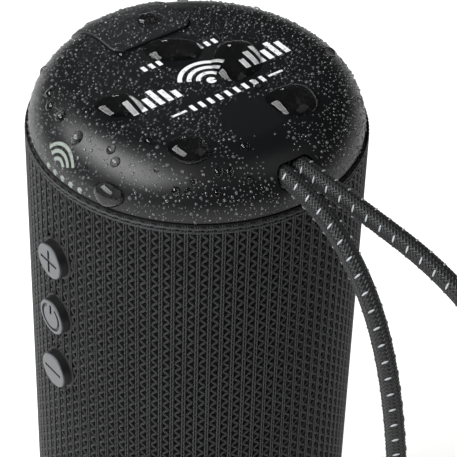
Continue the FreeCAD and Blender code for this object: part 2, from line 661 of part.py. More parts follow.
def aux_jack():
    low, high = PORT_BOARD_Z + 1.2, SHELF_Z - 0.2
    body = block(SOCKET_X - 3.0, SOCKET_X + 3.0, JACK_Y - 2.9, JACK_Y + 2.9, low, SHELF_Z - 2.8)
    nose = cylinder(2.9, SHELF_Z - 3, high, SOCKET_X, JACK_Y)
    return body.fuse(nose).cut(cylinder(1.8, low + 0.6, high + 1, SOCKET_X, JACK_Y)).removeSplitter()


def port_ribbon():
    """A flat cable from the port board, through the head plate, to the main board."""
    y0, y1 = -6.0, 6.0
    top = block(-13.4, -12.9, y0, y1, CAP_FLOOR_Z - 6.0, PORT_BOARD_Z + 1.7)
    fold = block(-17.5, -12.9, y0, y1, PORT_BOARD_Z + 1.2, PORT_BOARD_Z + 1.7)
    across = block(-13.4, 2.0, y0, y1, CAP_FLOOR_Z - 6.5, CAP_FLOOR_Z - 6.0)
    side = block(-4.0, 2.0, y0, BOARD_Y + 4.5, CAP_FLOOR_Z - 6.5, CAP_FLOOR_Z - 6.0)
    drop = block(-4.0, 2.0, BOARD_Y + 4.0, BOARD_Y + 4.5, 142.2, CAP_FLOOR_Z - 6.0)
    tail = block(-4.0, 2.0, BOARD_Y + BOARD_T + 2.0, BOARD_Y + 4.5, 141.6, 142.2)
    return top.fuse([fold, across, side, drop, tail]).removeSplitter()


def button_ribbon():
    """A flat cable from the button board, through the pocket's floor, to the main board."""
    y_low, y_high = PAD_FLOOR_Y + 1.8, BOARD_Y - 3.2
    stem = block(-2.5, 2.5, PAD_FLOOR_Y + 1.6, y_high, 148.6, 149.1)
    rise = block(-2.5, 2.5, PAD_FLOOR_Y + 1.6, y_low + 0.3, 143.0, 149.1)
    tail = block(-2.5, 2.5, y_high, y_high + 5.4, 148.6, 149.1)
    drop = block(-2.5, 2.5, y_high + 4.9, y_high + 5.4, 144.1, 149.1)
    return rise.fuse([stem, tail, drop]).removeSplitter()


def driver_leads():
    """Two pairs of insulated wire from the main board to the drivers' terminals."""
    wires = []
    for side in (-1, 1):
        x = 9.5 * side
        y0 = BOARD_Y + BOARD_T + 1.7
        rear = [(x, y0, 82.9), (x, y0, 77.5), (x * 1.05, y0 - 3.5, 74.2), (x * 1.3, y0 - 9.5, 71.5)]
        wires.append(pipe(rear + [(x * 1.42, 7.5, 65.5)], 1.1)[0])
        x = 11.8 * side
        front = [(x, y0, 82.9), (x * 1.1, y0, 77.0), (x * 1.5, y0 - 6.0, 74.6), (x * 1.9, 5.0, 74.2)]
        front += [(x * 1.9, -6.0, 73.0), (x * 1.45, -9.0, 66.5)]
        wires.append(pipe(front, 1.1)[0])
    return group(wires)


# ---- Lanyard ----
def cord_points():
    """The braided cord's route: out of the slot, round the hanging loop and back in."""
    drop = [(19.0, STRAND_Y, 0), (34.0, STRAND_Y, 0.1), (50.0, 4.3, -1.4), (66.3, 6.6, -3.6)]
    drop += [(80.5, 8.1, -9.2), (91.5, 9.0, -19.0), (99.0, 9.5, -33.0), (103.2, 9.7, -51.0)]
    drop += [(105.3, 9.6, -71.0), (106.0, 9.2, -92.0), (105.9, 8.6, -110.5), (105.2, 7.8, -126.5)]
    drop += [(99.6, 6.6, -135.6), (90.1, 5.0, -139.3), (80.6, 3.2, -135.8), (75.0, 1.6, -127.2)]
    drop += [(74.3, 0.2, -112.0), (74.2, -1.0, -96.0), (73.7, -1.7, -80.0), (72.8, -2.05, -64.0)]
    drop += [(71.3, -STRAND_Y, -49.5), (68.9, -STRAND_Y, -37.4), (65.6, -STRAND_Y, -25.8)]
    drop += [(60.6, -STRAND_Y, -15.4), (53.6, -STRAND_Y, -7.3), (44.9, -STRAND_Y, -1.9)]
    drop += [(34.0, -STRAND_Y, 0.05), (19.0, -STRAND_Y, 0)]
    return [(x, y, SLOT_Z + z) for x, y, z in drop]


def lanyard_cord():
    tube, radii, length = pipe(cord_points(), CORD_D)
    even = math.pi * (CORD_D / 2) ** 2 * length
    print("lanyard: length %.1f, radii %s" % (length, [round(r, 1) for r in radii]))
    print("lanyard: volume %.1f, section times length %.1f" % (tube.Volume, even))
    return tube


def lanyard_ferrule():
    """A crimped metal sleeve that holds both ends of the cord behind the slot."""
    low, high = FERRULE_X
    body = block(low, high, -5.0, 5.0, SLOT_Z - 2.65, SLOT_Z + 2.55)
    lengthwise = [e for e in body.Edges if abs(e.tangentAt(e.FirstParameter).x) > 0.9]
    return body.makeFillet(2.2, lengthwise)


def write(name, shape):
    shape.exportStep("parts/%s.step" % name)


def main():
    os.makedirs("parts", exist_ok=True)
    front, rear, seals = enclosure()
    pieces = {
        "top_cap": top_cap(),
        "port_cover": port_cover(),
        "port_cover_strap": port_cover_strap(),
        "bottom_cap": bottom_cap(),
        "rubber_feet": group(feet(0, FOOT_H + 0.5)),
        "knit_sleeve": sleeve(),
        "grille_tube": grille(),
        "enclosure_front": front,
        "enclosure_rear": rear,
        "enclosure_seals": seals,
        "enclosure_screws": shell_screws(),
        "head_plate": head_plate(),
        "head_plate_screws": head_plate_screws(),
        "head_seal": head_seal(),
        "base_plate": base_plate(),
        "base_seal": base_seal(),
        "base_screws": base_screws(),
        "button_bezel": button_bezel(),
        "button_board": button_board(),
        "button_switches": tact_switches(),
        "radiator_frame": radiator_frame(),
        "radiator_surround": radiator_surround(),
        "radiator_plate": radiator_plate(),
        "battery_cells": battery_cells(),
        "battery_holder": battery_holder(),
        "main_board": main_board(),
        "board_chips": board_chips(),
        "board_screws": board_screws(),
        "port_board": port_board(),
        "port_board_screws": port_board_screws(),
        "usb_socket": usb_socket(),
        "aux_jack": aux_jack(),
        "port_ribbon": port_ribbon(),
        "button_ribbon": button_ribbon(),
        "driver_leads": driver_leads(),
        "lanyard_ferrule": lanyard_ferrule(),
        "lanyard_cord": lanyard_cord(),
    }
    for name in BUTTON_Z:
        pieces["button_" + name] = button(name)
    driver = {
        "basket": driver_basket(),
        "gasket": driver_gasket(),
        "surround": driver_surround(),
        "cone": driver_cone(),
        "voice_coil": voice_coil(),
        "spider": driver_spider(),
        "magnet": driver_magnet(),
        "yoke": driver_yoke(),
        "screws": driver_screws(),
    }
    for where, side in (("front", -1), ("rear", 1)):
        for name, shape in driver.items():
            pieces["%s_driver_%s" % (where, name)] = facing(shape, side)
    for name, shape in pieces.items():
        write(name, shape)
        if not shape.isValid() or shape.Volume <= 0:
            print("not a sound solid:", name)


main()
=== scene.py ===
import json
import math

import bmesh
import bpy
import numpy as np
from mathutils import Matrix, Vector


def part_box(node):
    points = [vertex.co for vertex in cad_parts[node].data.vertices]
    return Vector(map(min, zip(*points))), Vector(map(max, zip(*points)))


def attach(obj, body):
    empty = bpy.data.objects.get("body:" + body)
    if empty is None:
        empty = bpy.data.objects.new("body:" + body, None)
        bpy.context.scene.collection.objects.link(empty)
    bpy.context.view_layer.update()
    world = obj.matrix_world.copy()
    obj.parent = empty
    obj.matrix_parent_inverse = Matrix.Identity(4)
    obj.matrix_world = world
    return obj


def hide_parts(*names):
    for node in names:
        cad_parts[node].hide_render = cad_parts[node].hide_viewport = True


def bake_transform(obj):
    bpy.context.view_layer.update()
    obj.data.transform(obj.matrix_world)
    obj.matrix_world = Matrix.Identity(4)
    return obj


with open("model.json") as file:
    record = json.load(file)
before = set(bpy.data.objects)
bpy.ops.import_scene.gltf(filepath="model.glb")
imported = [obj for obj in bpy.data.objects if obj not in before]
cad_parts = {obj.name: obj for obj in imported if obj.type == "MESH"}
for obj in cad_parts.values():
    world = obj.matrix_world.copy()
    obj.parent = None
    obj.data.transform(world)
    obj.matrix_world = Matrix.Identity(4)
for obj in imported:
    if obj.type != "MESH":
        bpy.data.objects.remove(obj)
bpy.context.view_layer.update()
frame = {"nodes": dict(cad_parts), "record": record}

# A portable loudspeaker: a knitted tube between two satin caps, keys on its -Y side, a cover over
# the sockets on its -X side and a braided lanyard on its +X side. Sizes are in millimetres.
MM = 0.001

# ---- Driving sizes, from the frame where it holds them ----
SLEEVE_LOW, SLEEVE_HIGH = (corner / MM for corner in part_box("knit_sleeve"))
CAP_LOW, CAP_HIGH = (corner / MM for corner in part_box("top_cap"))
SLEEVE_R = SLEEVE_HIGH.x
HEIGHT = CAP_HIGH.z
CAP_R = 35.1
CAP_ROUND = 11.6
SHOULDER_R = CAP_R - CAP_ROUND
SHOULDER_Z = HEIGHT - CAP_ROUND
SLOT_Z = HEIGHT - 5.3
KEY_ZS = [(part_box("button_" + key)[0].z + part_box("button_" + key)[1].z) / 2 / MM
          for key in ("plus", "power", "minus")]
COLLAR_R = 4.9

# ---- Knit ----
WALES = 90              # upright ribs round the tube
ROW = 2.47              # height of one row of loops
BACK_R = 35.15          # outside of the near-black layer under the yarns, which paints the shade between them
YARN_ENDS = 0.1         # the yarns stop this far inside the sleeve's ends
LOOP_DEPTH = 0.45       # middle of the loops, in from the sleeve's outside
LOOP_YARN = {"Sway": 0.54, "Relief": 0.1, "Width": 0.28, "Thickness": 0.27}
RIB_DEPTH = 0.24
RIB_YARN = {"Relief": 0.0, "Width": 0.16, "Thickness": 0.22}
RIB_ASIDE, RIB_SWAY = 0.25, 0.07
HEM_DEPTH = 0.28
HEM_YARN = (0.24, 0.22) # half height and half thickness
HEM_INSETS = (0.42, 1.3)

# ---- Lanyard ----
CORD_D = 4.1
STRAND_Y = 2.15
BRAID_STRANDS = 12      # strands wound each way
BRAID_PITCH = 10.0      # length of one turn of a strand
STRAND_SIZES = (0.42, 0.15, 0.07)   # half width, half thickness, rise over a crossing strand
FLECK_STEP = 3.5        # from one reflective fleck to the next
FLECK_SIZE = (0.14, 0.8, 0.23)
FLECK_LEAN, FLECK_TURN, FLECK_TWIST = 14, 66, -0.38     # degrees; the last one for each step

# ---- Cover ----
COVER_LOW, COVER_HIGH = (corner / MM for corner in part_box("port_cover"))
COVER_PROUD = 0.5
# The strap's middle line seen from the -Y side, from its seat up into the cover.
STRAP_LINE = [(-30.2, 171.55), (-31.6, 171.55), (-32.6, 171.6), (-33.1, 171.9), (-33.3, 172.4),
              (-33.1, 173.2), (-32.3, 174.2)]
STRAP_HALF = (5.7, 0.5)         # half width and half thickness of the band
STRAP_ROUND = 0.2

# ---- Prints ----
BARS_FOOT = -4.6        # the bars' lower ends, up from the cap's middle as the print is read
LINE_V = -9.2           # the lower row's middle
PRINT_MIDDLE = 0.7
BAR_HEIGHTS = (2.6, 4.2, 5.4, 3.6, 5.4, 4.4)
MARK_AZIMUTH = -90.0

# ---- Water ----
# Middle, two half widths, heading of the first, and height.
PUDDLES = [(-9.6, 0.6, (6.0, 4.3), 55, 1.9), (0.9, 9.1, (5.6, 7.2), 55, 2.3),
           (18.6, 9.9, (5.5, 5.2), 55, 2.2), (0.0, -19.9, (4.8, 4.0), 55, 1.8),
           (19.4, -16.6, (4.6, 3.6), 55, 1.8), (-21.3, 2.6, (2.2, 2.4), 0, 1.2),
           (10.2, 7.4, (1.6, 1.4), 55, 0.9), (-14.3, -8.6, (1.3, 0.9), 55, 0.6)]
# Direction, distance from the middle along the surface, and half widths down and around.
ROUND_DROPS = [(-67, 38.5, 2.8, 3.6), (-102, 30.8, 1.5, 1.3), (-118, 31.0, 1.4, 1.2), (-111, 31.6, 1.4, 1.2),
               (-88, 31.4, 1.6, 1.4), (-72, 29.8, 1.1, 1.0), (-68, 31.8, 1.2, 1.0), (-59, 25.1, 1.0, 1.2),
               (-29, 30.8, 1.2, 1.0), (-25, 31.0, 1.2, 1.0), (-38, 32.6, 0.9, 0.8), (-44, 34.8, 1.1, 0.9),
               (-40, 34.6, 0.8, 0.7), (-16, 25.9, 1.2, 1.1), (-52, 31.0, 0.7, 0.6), (150, 30.0, 1.5, 1.3),
               (120, 33.0, 1.3, 1.1), (75, 30.0, 1.8, 1.5), (52, 36.0, 1.2, 1.0), (-140, 35.0, 1.2, 1.0),
               (-78, 35.5, 0.7, 0.6), (-30, 35.0, 0.8, 0.7), (-18, 33.0, 0.7, 0.7), (-95, 26.0, 0.9, 0.8)]
# Places that stay dry: middle and radius.
CLEAR_PATCHES = [(18.5, 0.0, 6.5), (28.0, -2.5, 3.5), (8.0, -6.0, 2.5), (-24.0, 14.0, 4.0)]
SLOT_DRY = (24, 5.4, 3.2)  # round the lanyard's slot: from this x on, this far along y and z
SPRAY = 9000            # tries; those without room are left out
SPRAY_GAP = 0.06
SPRAY_CELL = 1.2        # side of the boxes that sort the fine drops; wider than two of them
# Rings, sides and unevenness of each kind of drop.
PUDDLE_FORM, DROP_FORM, SPRAY_FORM = (10, 44, 0.16), (6, 20, 0.12), (2, 7, 0.1)

# ---- View ----
CAMERA_AT = (0.27455, -0.20861, 0.42038)
CAMERA_HEADING = math.radians(51.5655)
CAMERA_PITCH = math.radians(39.42)
CAMERA_ROLL = math.radians(1.902)
CAMERA_LENS = 161.45
LIT_POINT = (0.0, 0.0, 0.14)
LIGHT_DISTANCE = 0.9
# Direction and height in degrees, width and height in metres, and radiance.
LIGHTS = {"key": (-106, 47, 1.1, 0.5, 9.6), "fill": (30, 50, 0.5, 0.5, 0.7),
          "glint": (150, 22, 0.08, 0.08, 7.0)}
ROOM_LIGHT = 0.06
FLOOR_HALF = 3000


# ---------------------------------------------------------------- helpers
def add(tree, kind, inputs=None, **settings):
    """Adds a node. Settings are its own properties, and inputs are values for its sockets,
    or the sockets that feed them."""
    made = tree.nodes.new(kind)
    for name, value in settings.items():
        setattr(made, name, value)
    for name, value in (inputs or {}).items():
        if isinstance(value, bpy.types.NodeSocket):
            tree.links.new(value, made.inputs[name])
        else:
            made.inputs[name].default_value = value
    return made


def linear(code):
    """An sRGB hex colour as a linear RGBA value."""
    parts = [int(code[i:i + 2], 16) / 255 for i in (1, 3, 5)]
    return [c / 12.92 if c <= 0.04045 else ((c + 0.055) / 1.055) ** 2.4 for c in parts] + [1.0]


def per(size):
    """The scale of a texture whose pattern has that size in millimetres."""
    return 1.0 / (size * MM)


def link(thing):
    bpy.context.scene.collection.objects.link(thing)
    return thing


def piece(name, points, faces, material, smooth=True):
    """A mesh piece from points in millimetres."""
    mesh = bpy.data.meshes.new(name)
    mesh.from_pydata((np.asarray(points, float) * MM).tolist(), [], [list(map(int, f)) for f in faces])
    mesh.polygons.foreach_set("use_smooth", [smooth] * len(mesh.polygons))
    mesh.materials.append(material)
    mesh.update()
    return link(bpy.data.objects.new(name, mesh))


def face_outwards(thing):
    """Turns the faces of closed shells outwards."""
    shells = bmesh.new()
    shells.from_mesh(thing.data)
    bmesh.ops.recalc_face_normals(shells, faces=shells.faces)
    shells.to_mesh(thing.data)
    shells.free()
    return thing


def copied(node, name, material):
    """A merged copy of a piece of the frame."""
    mesh = frame["nodes"][node].data.copy()
    mesh.name = name
    mesh.materials.clear()
    mesh.materials.append(material)
    merged = bmesh.new()
    merged.from_mesh(mesh)
    bmesh.ops.remove_doubles(merged, verts=merged.verts, dist=0.001 * MM)
    merged.to_mesh(mesh)
    merged.free()
    return link(bpy.data.objects.new(name, mesh))


def merged(shells):
    """Points and faces of several shells as one mesh."""
    points, faces, start = [], [], 0
    for shape, quads in shells:
        faces += [tuple(start + v for v in quad) for quad in quads]
        points.append(shape)
        start += len(shape)
    return np.concatenate(points), faces


def tube_faces(rings, sides):
    """Quads between rings of points, and a cap at each end."""
    faces = []
    for i in range(rings - 1):
        for j in range(sides):
            a, b = i * sides, (i + 1) * sides
            faces.append((a + j, a + (j + 1) % sides, b + (j + 1) % sides, b + j))
    last = (rings - 1) * sides
    faces.append(tuple(reversed(range(sides))))
    faces.append(tuple(last + j for j in range(sides)))
    return faces


def evenly(line, step=None, count=None):
    """Points at even distances along a line, and those distances."""
    along = np.concatenate([[0], np.cumsum(np.linalg.norm(np.diff(line, axis=0), axis=1))])
    at = np.linspace(0, along[-1], count or int(along[-1] / step) + 1)
    return np.stack([np.interp(at, along, values) for values in line.T], axis=1), at


def crosswise(line):
    """The direction across a flat line at each of its points."""
    along = np.gradient(line, axis=0)
    return np.stack([-along[:, 1], along[:, 0]], axis=1) / np.linalg.norm(along, axis=1)[:, None]


def nodes_tree(name, sizes):
    """A Geometry Nodes tree with named inputs, and the sockets of its input node."""
    tree = bpy.data.node_groups.new(name, "GeometryNodeTree")
    tree.interface.new_socket("Geometry", in_out="INPUT", socket_type="NodeSocketGeometry")
    for label, kind in sizes.items():
        tree.interface.new_socket(label, in_out="INPUT", socket_type="NodeSocket" + kind)
    tree.interface.new_socket("Geometry", in_out="OUTPUT", socket_type="NodeSocketGeometry")
    return tree, add(tree, "NodeGroupInput").outputs


def end_tree(tree, geometry, material):
    """Ends a tree: its instances are made real and smooth, and take a material."""
    real = add(tree, "GeometryNodeRealizeInstances", {"Geometry": geometry})
    smooth = add(tree, "GeometryNodeSetShadeSmooth", {"Geometry": real.outputs["Geometry"]})
    done = add(tree, "GeometryNodeSetMaterial", {"Geometry": smooth.outputs["Geometry"],
                                                 "Material": material})
    add(tree, "NodeGroupOutput", {"Geometry": done.outputs["Geometry"]})


def grown(name, tree, values):
    """The plain mesh that a tree makes with these values for its inputs."""
    holder = link(bpy.data.objects.new(name + "_holder", bpy.data.meshes.new(name + "_holder")))
    modifier = holder.modifiers.new("grown", "NODES")
    modifier.node_group = tree
    for item in tree.interface.items_tree:
        if item.in_out == "INPUT" and item.name in values:
            modifier[item.identifier] = values[item.name]
    evaluated = holder.evaluated_get(bpy.context.evaluated_depsgraph_get())
    mesh = bpy.data.meshes.new_from_object(evaluated)
    holder.modifiers.remove(modifier)
    bpy.data.objects.remove(holder)
    return link(bpy.data.objects.new(name, mesh))


# ---------------------------------------------------------------- camera, light and floor
def make_camera():
    data = bpy.data.cameras.new("camera")
    data.lens = CAMERA_LENS
    camera = link(bpy.data.objects.new("camera", data))
    turn = Matrix.Rotation(CAMERA_HEADING, 4, "Z") @ Matrix.Rotation(math.pi / 2 - CAMERA_PITCH, 4, "X")
    camera.matrix_world = Matrix.Translation(CAMERA_AT) @ turn @ Matrix.Rotation(CAMERA_ROLL, 4, "Z")
    bpy.context.scene.camera = camera


def softbox(name, azimuth, elevation, width, height, radiance):
    """A rectangular light that faces the upper part of the object from a direction in degrees."""
    data = bpy.data.lights.new(name, "AREA")
    data.shape = "RECTANGLE"
    data.size, data.size_y = width, height
    data.energy = radiance * math.pi * width * height
    level = math.cos(math.radians(elevation))
    towards = Vector((level * math.cos(math.radians(azimuth)), level * math.sin(math.radians(azimuth)),
                      math.sin(math.radians(elevation))))
    lamp = link(bpy.data.objects.new(name, data))
    lamp.location = Vector(LIT_POINT) + towards * LIGHT_DISTANCE
    lamp.rotation_euler = towards.to_track_quat("Z", "Y").to_euler()


def make_studio():
    scene = bpy.context.scene
    scene.view_settings.view_transform = "Standard"
    world = bpy.data.worlds.new("studio")
    world.use_nodes = True
    background = world.node_tree.nodes["Background"].inputs
    background["Color"].default_value = (1.0, 1.0, 1.0, 1.0)
    background["Strength"].default_value = ROOM_LIGHT
    scene.world = world
    for name, values in LIGHTS.items():
        softbox(name, *values)
    corners = [(x * FLOOR_HALF, y * FLOOR_HALF, 0) for x, y in ((-1, -1), (1, -1), (1, 1), (-1, 1))]
    # Lit acrylic sheet: white, matt, and evenly bright.
    white = surface("lit_acrylic", "#f4f4f2", 0.7, grain=4.0, mottle=0.01,
                    shader={"Emission Strength": 0.48, "Emission Color": linear("#ffffff")})
    piece("floor", corners, [(0, 1, 2, 3)], white)


# ---------------------------------------------------------------- finishes
def new_material(name, values=None):
    """A material, with values for the shader's own sockets."""
    material = bpy.data.materials.new(name)
    material.use_nodes = True
    for socket, value in (values or {}).items():
        material.node_tree.nodes["Principled BSDF"].inputs[socket].default_value = value
    return material


def textured(name, values=None):
    """A material, its tree, and the object's own coordinates in it."""
    material = new_material(name, values)
    tree = material.node_tree
    return material, tree, add(tree, "ShaderNodeTexCoord").outputs["Object"]


def noise(tree, place, size, detail, **more):
    """Cloudy grain of a size in millimetres."""
    return add(tree, "ShaderNodeTexNoise", {"Vector": place, "Scale": per(size), "Detail": detail,
                                            **more}).outputs["Fac"]


def between(tree, value, low, high, to_low=0.0, to_high=1.0):
    """Turns the span from low to high into the span from to_low to to_high."""
    return add(tree, "ShaderNodeMapRange", {"Value": value, "From Min": low, "From Max": high,
                                            "To Min": to_low, "To Max": to_high}).outputs["Result"]


def mixed(tree, share, first, second):
    return add(tree, "ShaderNodeMix", {"Factor": share, "A": first, "B": second},
               data_type="RGBA").outputs["Result"]


def shade(colour, factor):
    """A hex colour made darker or lighter, as a linear value."""
    return [c * factor for c in linear(colour)[:3]] + [1.0]


def feed(tree, tint, height, depth, gloss=None):
    """Feeds the shader a colour, a relief that stands up by depth millimetres, and a gloss."""
    sockets = tree.nodes["Principled BSDF"].inputs
    bump = add(tree, "ShaderNodeBump", {"Height": height, "Distance": depth * MM})
    tree.links.new(tint, sockets["Base Color"])
    tree.links.new(bump.outputs["Normal"], sockets["Normal"])
    if gloss is not None:
        tree.links.new(gloss, sockets["Roughness"])


def surface(name, colour, roughness, grain=0.4, depth=0.01, mottle=0.12, wear=0.06, shader=None):
    """A finish with a fine grain that stands up by depth, and a broad change of colour and gloss.
    Sizes are in millimetres, and shader holds values for the shader's own sockets."""
    material, tree, place = textured(name, shader)
    broad = noise(tree, place, grain * 25, 2.0)
    tint = mixed(tree, broad, shade(colour, 1 - mottle), shade(colour, 1 + mottle))
    gloss = between(tree, broad, 0.3, 0.7, roughness - wear, roughness + wear)
    feed(tree, tint, noise(tree, place, grain, 3.0), depth, gloss)
    return material


def fibre_streaks(name, colour, roughness, thread=0.12, depth=0.03, contrast=0.35, sheen=0.4):
    """Spun yarn: fine fibres that catch the light unevenly, matt, with a soft sheen at grazing angles.
    The fibres are drawn coarser than real ones so that they show."""
    material, tree, place = textured(name, {"Roughness": roughness, "Sheen Weight": sheen,
                                            "Sheen Roughness": 0.4})
    fine = noise(tree, place, thread, 4.0, Roughness=0.7)
    both = add(tree, "ShaderNodeMath", {0: fine, 1: noise(tree, place, 9.0, 2.0)}, operation="ADD")
    share = between(tree, both.outputs["Value"], 0.7, 1.3)
    feed(tree, mixed(tree, share, shade(colour, 1 - contrast), shade(colour, 1 + contrast)), fine, depth)
    return material


def worked_metal(name, colour, roughness, grain=0.08, stretch=(1.0, 1.0, 1.0), depth=0.004):
    """Bare metal with the marks of its working: the grain is drawn out along one direction."""
    material, tree, place = textured(name, {"Metallic": 1.0})
    drawn = add(tree, "ShaderNodeMapping", {"Vector": place, "Scale": stretch})
    marks = noise(tree, drawn.outputs["Vector"], grain, 4.0)
    tint = mixed(tree, noise(tree, place, 6.0, 3.0), shade(colour, 0.82), linear(colour))
    feed(tree, tint, marks, depth, between(tree, marks, 0.3, 0.7, roughness - 0.07, roughness + 0.1))
    return material


def striped(name, colours, roughness, step, direction, depth=0.03, metallic=0.0, crossed=False):
    """Threads, windings or printed lines at an even step. direction is the texture's own axis,
    and crossed adds a second set at a right angle, as in woven cloth."""
    material, tree, place = textured(name, {"Roughness": roughness, "Metallic": metallic})
    # A band wave repeats every 0.05 pi of its scaled length.
    wave = {"Vector": place, "Scale": per(step) / 20 * 2 * math.pi}
    height = add(tree, "ShaderNodeTexWave", wave, bands_direction=direction).outputs["Fac"]
    if crossed:
        other = "X" if direction != "X" else "Z"
        weft = add(tree, "ShaderNodeTexWave", wave, bands_direction=other).outputs["Fac"]
        height = add(tree, "ShaderNodeMath", {0: height, 1: weft}, operation="MULTIPLY").outputs["Value"]
    feed(tree, mixed(tree, height, linear(colours[0]), linear(colours[1])), height, depth)
    return material


def printed_board():
    """Solder mask over copper: glossy green with slightly raised tracks and bare round pads."""
    material, tree, place = textured("solder_mask", {"Roughness": 0.25})
    tracks = add(tree, "ShaderNodeTexBrick", {"Vector": place, "Scale": per(4.0), "Mortar Size": 0.03,
                                              "Color1": linear("#0d4a2a"), "Color2": linear("#0b3f25"),
                                              "Mortar": linear("#2a8a52")})
    pads = add(tree, "ShaderNodeTexVoronoi", {"Vector": place, "Scale": per(2.6), "Randomness": 0.7})
    is_pad = add(tree, "ShaderNodeMath", {0: pads.outputs["Distance"], 1: 0.13}, operation="LESS_THAN")
    tint = mixed(tree, is_pad.outputs["Value"], tracks.outputs["Color"], linear("#c9b27a"))
    feed(tree, tint, tracks.outputs["Fac"], 0.03)
    return material


def printed_key():
    """Silicone key: a pale matt print on the raised face, worn through to black in the grooves
    and on the sides."""
    material, tree, place = textured("printed_silicone", {"Roughness": 0.5})
    inward = add(tree, "ShaderNodeSeparateXYZ", {"Vector": place}).outputs["Y"]
    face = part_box("button_plus")[0].y
    grain = noise(tree, place, 0.5, 4.0)
    edge = add(tree, "ShaderNodeMath", {0: grain, 1: 0.08 * MM, 2: inward}, operation="MULTIPLY_ADD")
    printed = between(tree, edge.outputs["Value"], face + 0.24 * MM, face + 0.14 * MM)
    feed(tree, mixed(tree, printed, linear("#0b0b0c"), linear("#55575a")), grain, 0.015)
    return material


def make_finishes():
    """One finish for each material slot of the frame."""
    return {
        # ABS with a satin spark-eroded texture: near black, with broad soft highlights.
        "cap_plastic": surface("satin_abs", "#08090b", 0.37, grain=0.18, depth=0.004, mottle=0.06, wear=0.012,
                               shader={"Specular IOR Level": 0.4}),
        # Moulded silicone: black, a little duller than the cap.
        "cover_rubber": surface("moulded_silicone", "#101113", 0.46, grain=0.15, depth=0.004, mottle=0.08),
        # ABS moulded against a coarser texture.
        "base_plastic": surface("textured_abs", "#18191b", 0.5, grain=0.3, depth=0.012, mottle=0.08),
        # Natural rubber, matt, with a dusty bloom.
        "foot_rubber": surface("matt_rubber", "#141415", 0.8, grain=0.4, depth=0.02, mottle=0.25),
        # Filled nylon: dull black with a faint orange peel.
        "lattice_plastic": surface("filled_nylon", "#0d0d0e", 0.6, grain=0.6, depth=0.01),
        # ABS, plain inner moulding: dark grey, semi-gloss.
        "shell_plastic": surface("inner_abs", "#26272a", 0.42, grain=0.5, depth=0.006),
        # Closed-cell foam rubber: fine pits, fully matt.
        "seal_rubber": surface("foam_rubber", "#2c2c2e", 0.92, grain=0.25, depth=0.06, mottle=0.3),
        # Zinc plated steel: bright, faintly drawn.
        "steel_screw": worked_metal("zinc_plated_steel", "#b9bcc2", 0.32, grain=0.12),
        "button_plastic": printed_key(),
        # Moulded rubber frame round the keys.
        "bezel_rubber": surface("black_rubber", "#0a0a0b", 0.7, grain=0.25, depth=0.01),
        "circuit_board": printed_board(),
        # Moulded epoxy packages: charcoal with a fine sparkle of filler.
        "chip_black": surface("moulded_epoxy", "#1c1c1e", 0.55, grain=0.08, depth=0.01, mottle=0.2),
        # Pressed tin-plated plate.
        "switch_metal": worked_metal("pressed_tinplate", "#c6c7c9", 0.35, grain=0.2),
        # PVC shrink film: glossy blue, with a slight wrinkle.
        "cell_wrap": surface("shrink_film", "#1f5fa6", 0.22, grain=3.0, depth=0.06, mottle=0.1,
                             shader={"Coat Weight": 0.6}),
        # Glass-filled nylon: warm black, streaked where it flowed.
        "holder_plastic": surface("glass_filled_nylon", "#2a2a2b", 0.5, grain=0.35, depth=0.012, mottle=0.2),
        # Powder coat on pressed steel: black with orange peel.
        "basket_steel": surface("powder_coat", "#161617", 0.45, grain=0.9, depth=0.03, mottle=0.08),
        # Pressed paper pulp: soft grey-brown fibres.
        "cone_paper": surface("paper_pulp", "#3a3734", 0.9, grain=0.35, depth=0.04, mottle=0.3),
        # Butyl rubber: deep black, a little shine.
        "surround_rubber": surface("butyl_rubber", "#111112", 0.45, grain=0.3, depth=0.01, mottle=0.15),
        # Cotton cloth dipped in resin: amber, open plain weave.
        "spider_cloth": striped("resin_dipped_cloth", ("#5a3a12", "#c4893c"), 0.75, 0.5, "Z", crossed=True),
        # Enamelled copper wire, wound side by side.
        "coil_copper": striped("enamelled_copper", ("#5e2c14", "#d08a55"), 0.3, 0.22, "Y", metallic=1.0),
        # Sintered ferrite: dark grey, granular and dull.
        "magnet_ferrite": surface("sintered_ferrite", "#3b3b3f", 0.62, grain=0.3, depth=0.03, mottle=0.2),
        # Steel with yellow zinc passivation.
        "yoke_steel": worked_metal("yellow_zinc", "#c8bd94", 0.38, grain=0.5),
        # Deep-drawn stainless shell, marked along its depth.
        "socket_metal": worked_metal("drawn_stainless", "#c4c5c8", 0.25, grain=0.1, stretch=(1.0, 1.0, 0.1)),
        # Nylon: black and glossy.
        "jack_plastic": surface("glossy_nylon", "#141416", 0.3, grain=0.5, depth=0.006),
        # Polyimide film over copper lines.
        "ribbon_film": striped("polyimide_film", ("#8a4d12", "#c98a35"), 0.28, 0.8, "X", depth=0.02),
        # PVC insulation: red, soft gloss.
        "wire_sleeve": surface("pvc_insulation", "#9c2a24", 0.4, grain=0.5, depth=0.01),
        # Spun aluminium, crimped: pale, with fine turning marks.
        "ferrule_metal": worked_metal("crimped_aluminium", "#cfd0d2", 0.34, grain=0.15,
                                      stretch=(0.2, 1.0, 1.0)),
        # Textured polyester yarn: charcoal, fibrous and matt.
        "knit_fabric": fibre_streaks("textured_polyester", "#121314", 0.68, contrast=0.5, sheen=0.1),
        # Braided polyester: dark, matt and fibrous.
        "lanyard_braid": fibre_streaks("braided_polyester", "#101112", 0.5, sheen=0.05),
    }


def dress_frame(finishes):
    """Gives each piece of the frame the finish of its slot."""
    for part in frame["record"]["subparts"]:
        materials = frame["nodes"][part["node"]].data.materials
        materials.clear()
        materials.append(finishes[part["material_slot"]])


